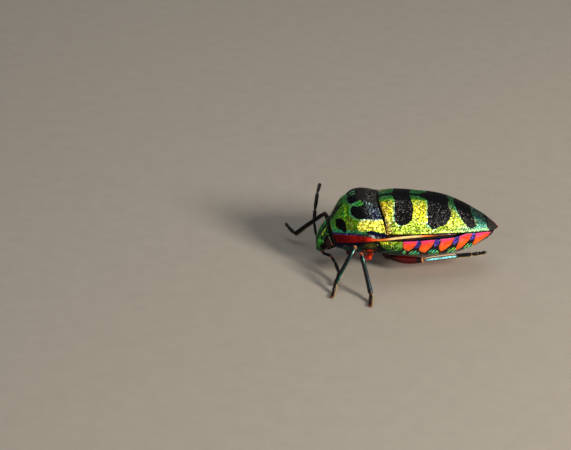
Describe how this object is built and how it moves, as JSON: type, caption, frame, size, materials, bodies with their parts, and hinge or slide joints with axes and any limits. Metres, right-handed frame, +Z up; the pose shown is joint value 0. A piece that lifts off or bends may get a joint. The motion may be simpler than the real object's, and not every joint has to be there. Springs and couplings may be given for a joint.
{
  "type": "jewel bug",
  "caption": "Life-size long-bodied jewel bug with banded metallic shield, red belly flanks, beak, feelers and legs, standing in mid-step.",
  "frame": {"origin": "on the floor, under the middle of the whole bug's bounding box", "axes": "+Z up; the head points along -X and the tail along +X; the bug's left flank faces -Y and its right flank +Y"},
  "size_m": [0.0242, 0.0194, 0.0093],
  "materials": {
    "shell_green": "glossy metallic green-gold cuticle with black bands, coarsely pitted",
    "belly_red": "glossy orange-red cuticle with blue-black spots",
    "corium_orange": "satin orange forewing edge",
    "femur_red": "glossy dark red cuticle",
    "limb_black": "glossy black cuticle with a green-blue sheen",
    "eye_brown": "smooth dark red-brown, finely faceted"
  },
  "bodies": {
    "root": {"head": "shell_green", "eye_left": "eye_brown", "eye_right": "eye_brown", "rostrum": "limb_black", "pronotum": "shell_green", "scutellum": "shell_green", "corium_left": "corium_orange", "corium_right": "corium_orange", "thorax": "shell_green", "abdomen": "belly_red", "antenna_left_1": "limb_black", "antenna_left_2": "limb_black", "antenna_left_3": "limb_black", "antenna_left_4": "limb_black", "antenna_left_5": "limb_black", "antenna_right_1": "limb_black", "antenna_right_2": "limb_black", "antenna_right_3": "limb_black", "antenna_right_4": "limb_black", "antenna_right_5": "limb_black", "coxa_front_left": "femur_red", "femur_front_left": "femur_red", "tibia_front_left": "limb_black", "tarsus_front_left": "limb_black", "coxa_front_right": "femur_red", "femur_front_right": "femur_red", "tibia_front_right": "limb_black", "tarsus_front_right": "limb_black", "coxa_middle_left": "femur_red", "femur_middle_left": "femur_red", "tibia_middle_left": "limb_black", "tarsus_middle_left": "limb_black", "coxa_middle_right": "femur_red", "femur_middle_right": "femur_red", "tibia_middle_right": "limb_black", "tarsus_middle_right": "limb_black", "coxa_hind_left": "femur_red", "femur_hind_left": "femur_red", "tibia_hind_left": "limb_black", "tarsus_hind_left": "limb_black", "coxa_hind_right": "femur_red", "femur_hind_right": "femur_red", "tibia_hind_right": "limb_black", "tarsus_hind_right": "limb_black"}
  },
  "joints": []
}
